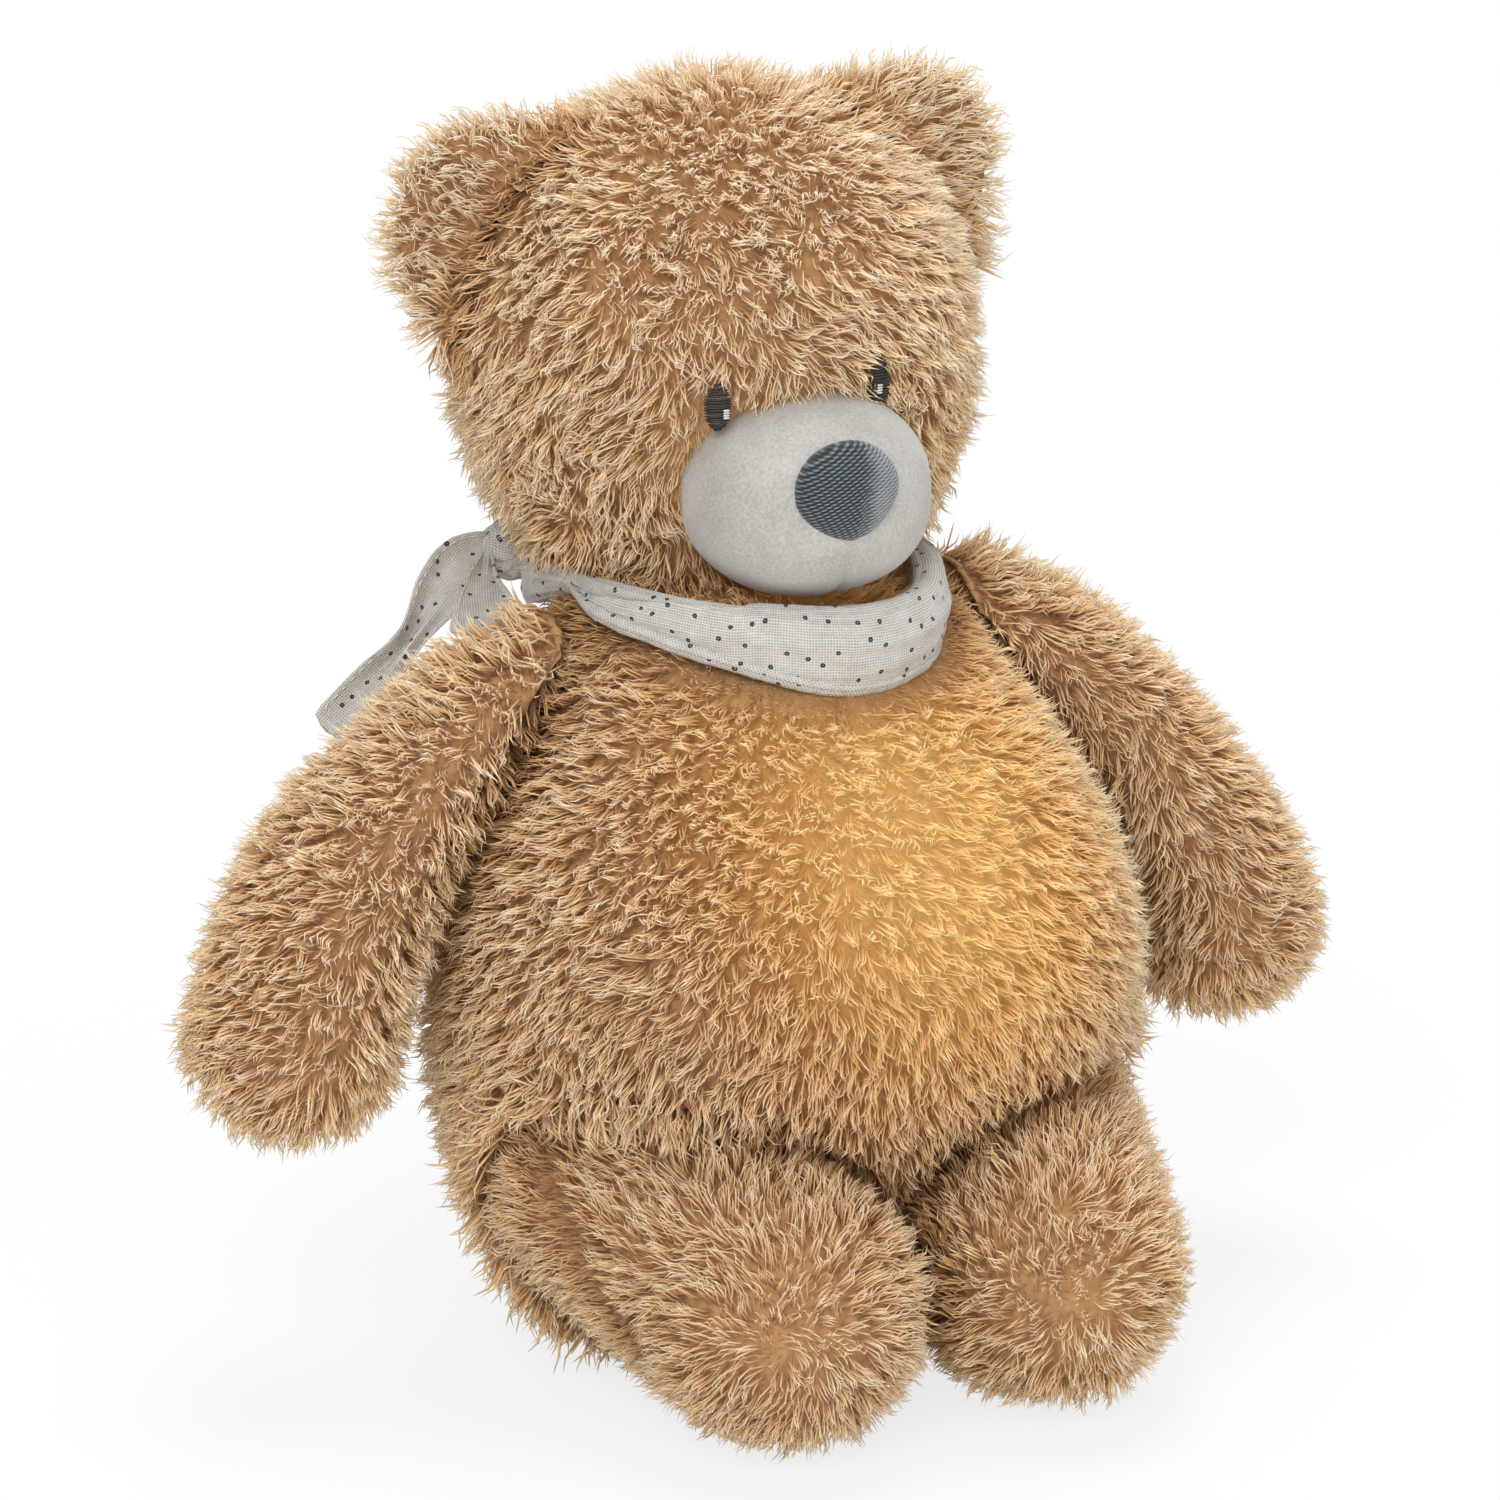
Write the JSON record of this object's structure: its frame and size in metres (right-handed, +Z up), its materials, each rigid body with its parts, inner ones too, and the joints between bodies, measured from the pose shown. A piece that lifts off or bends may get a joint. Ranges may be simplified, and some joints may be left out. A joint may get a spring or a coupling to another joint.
{
  "type": "plush bear",
  "caption": "Sitting plush bear with a big round head, cupped ears, pale muzzle, dotted neckerchief, splayed arms, round feet and a light and sound unit inside",
  "frame": {"origin": "centre line of the flat seat, on the surface the bear sits on", "axes": "+Z up, -Y is where the bear faces, +X is the bear's left"},
  "size_m": [0.2968, 0.2148, 0.3051],
  "materials": {
    "fur": "matte",
    "velour": "matte",
    "nose_weave": "matte",
    "eye_thread": "satin",
    "muslin": "matte",
    "closure_strip": "matte",
    "pouch_lining": "matte",
    "case_plastic": "satin",
    "diffuser_plastic": "satin",
    "button_plastic": "satin",
    "board_laminate": "satin",
    "lamp_lens": "gloss",
    "dark_plastic": "satin",
    "battery_wrap": "gloss",
    "contact_metal": "satin"
  },
  "bodies": {
    "torso": {"body": "fur", "neckerchief_band": "muslin", "neckerchief_knot": "muslin", "neckerchief_tail_long": "muslin", "neckerchief_tail_short": "muslin", "hook_strip": "closure_strip", "loop_strip": "closure_strip", "pouch": "pouch_lining", "unit_case": "case_plastic", "battery_cover": "case_plastic", "light_switch": "dark_plastic", "sound_switch": "dark_plastic", "battery_1": "battery_wrap", "battery_2": "battery_wrap", "battery_3": "battery_wrap", "battery_spring_1": "contact_metal", "battery_spring_2": "contact_metal", "battery_spring_3": "contact_metal", "contact_plate_left": "contact_metal", "contact_plate_right": "contact_metal", "circuit_board": "board_laminate", "lamp_1": "lamp_lens", "lamp_2": "lamp_lens", "lamp_3": "lamp_lens", "speaker_magnet": "contact_metal", "speaker_basket": "dark_plastic", "speaker_cone": "dark_plastic", "light_diffuser": "diffuser_plastic", "cover_screw": "contact_metal"},
    "head": {"head": "fur", "ear_left": "fur", "ear_right": "fur", "muzzle": "velour", "nose": "nose_weave", "eye_left": "eye_thread", "eye_right": "eye_thread"},
    "arm_left": {"arm_left": "fur"},
    "arm_right": {"arm_right": "fur"},
    "leg_left": {"leg_left": "fur"},
    "leg_right": {"leg_right": "fur"},
    "light_button": {"light_button": "button_plastic"},
    "sound_button": {"sound_button": "button_plastic"}
  },
  "joints": [
    {"name": "head_turn", "type": "hinge", "parent": "torso", "child": "head", "pos_m": [0, 0.0445, 0.2405], "axis": [-0.0718, -0.0584, 0.9957], "range_deg": [-20, 20], "stiffness_Nm_per_rad": 0.05},
    {"name": "arm_left_lift", "type": "hinge", "parent": "torso", "child": "arm_left", "pos_m": [0.0505, 0.024, 0.187], "axis": [0, -1, 0], "range_deg": [0, 50]},
    {"name": "arm_right_lift", "type": "hinge", "parent": "torso", "child": "arm_right", "pos_m": [-0.0505, 0.024, 0.187], "axis": [0, 1, 0], "range_deg": [0, 50]},
    {"name": "leg_left_spread", "type": "hinge", "parent": "torso", "child": "leg_left", "pos_m": [0.049, -0.022, 0.05], "axis": [0, 0, 1], "range_deg": [0, 35], "stiffness_Nm_per_rad": 0.01},
    {"name": "leg_right_spread", "type": "hinge", "parent": "torso", "child": "leg_right", "pos_m": [-0.049, -0.022, 0.05], "axis": [0, 0, -1], "range_deg": [0, 35], "stiffness_Nm_per_rad": 0.01},
    {"name": "light_button_press", "type": "slide", "parent": "torso", "child": "light_button", "axis": [0, -1, 0], "range_m": [0, 0.001], "stiffness_N_per_m": 300},
    {"name": "sound_button_press", "type": "slide", "parent": "torso", "child": "sound_button", "axis": [0, -1, 0], "range_m": [0, 0.001], "stiffness_N_per_m": 300}
  ]
}
